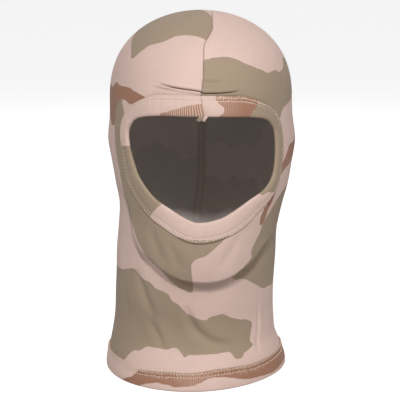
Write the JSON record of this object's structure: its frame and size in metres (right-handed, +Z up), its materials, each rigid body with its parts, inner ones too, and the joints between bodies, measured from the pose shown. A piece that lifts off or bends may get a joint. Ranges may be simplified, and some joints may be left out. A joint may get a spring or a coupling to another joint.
{
  "type": "balaclava",
  "caption": "One-hole balaclava of stretch jersey in a three-colour desert camouflage print, with a folded face band and a flared hem band.",
  "frame": {"origin": "centre of the bounding box, in the plane of the hem", "axes": "+Z up from the hem to the crown, -Y out of the face opening, +X towards the wearer's left"},
  "size_m": [0.1584, 0.1986, 0.296],
  "materials": {
    "printed_jersey": "fine matt cotton jersey printed in pinkish tan, khaki olive and brown",
    "band_jersey": "the same printed jersey, folded double and slightly ribbed by its stitching",
    "overlocked_edge": "raw jersey edges wrapped in sand-coloured overlock thread",
    "sewing_thread": "matt spun polyester thread"
  },
  "bodies": {
    "root": {"left_panel": "printed_jersey", "right_panel": "printed_jersey", "face_band": "band_jersey", "band_end_left": "band_jersey", "band_end_right": "band_jersey", "hem_band": "band_jersey", "crown_back_seam": "overlocked_edge", "chin_neck_seam": "overlocked_edge", "face_outer_row": "sewing_thread", "face_inner_row": "sewing_thread", "face_looper_thread": "sewing_thread", "face_band_join": "sewing_thread", "hem_upper_row": "sewing_thread", "hem_lower_row": "sewing_thread", "hem_looper_thread": "sewing_thread"}
  },
  "joints": []
}
